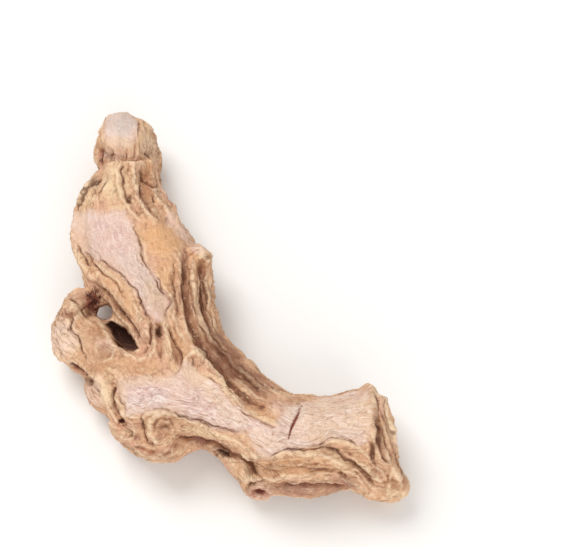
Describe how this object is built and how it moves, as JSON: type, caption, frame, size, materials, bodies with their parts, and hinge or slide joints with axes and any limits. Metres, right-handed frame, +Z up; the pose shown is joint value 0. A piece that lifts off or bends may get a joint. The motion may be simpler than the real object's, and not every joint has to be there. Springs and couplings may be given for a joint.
{
  "type": "ginger root",
  "caption": "Dried ginger root: a bent, flattened rhizome with a knobbed bud, a side lobe, leathery folds and a torn blunt end, lying on low spots of its underside.",
  "frame": {"origin": "on the resting plane, under the middle of the root's box", "axes": "+Z up, away from the surface it lies on; +Y along the arm from the thick front run towards the bud; +X along the front run towards its torn end"},
  "size_m": [0.069, 0.0822, 0.0183],
  "materials": {
    "dried_skin": "matt, dry and fibrous"
  },
  "bodies": {
    "root": {"rhizome": "dried_skin"}
  },
  "joints": []
}
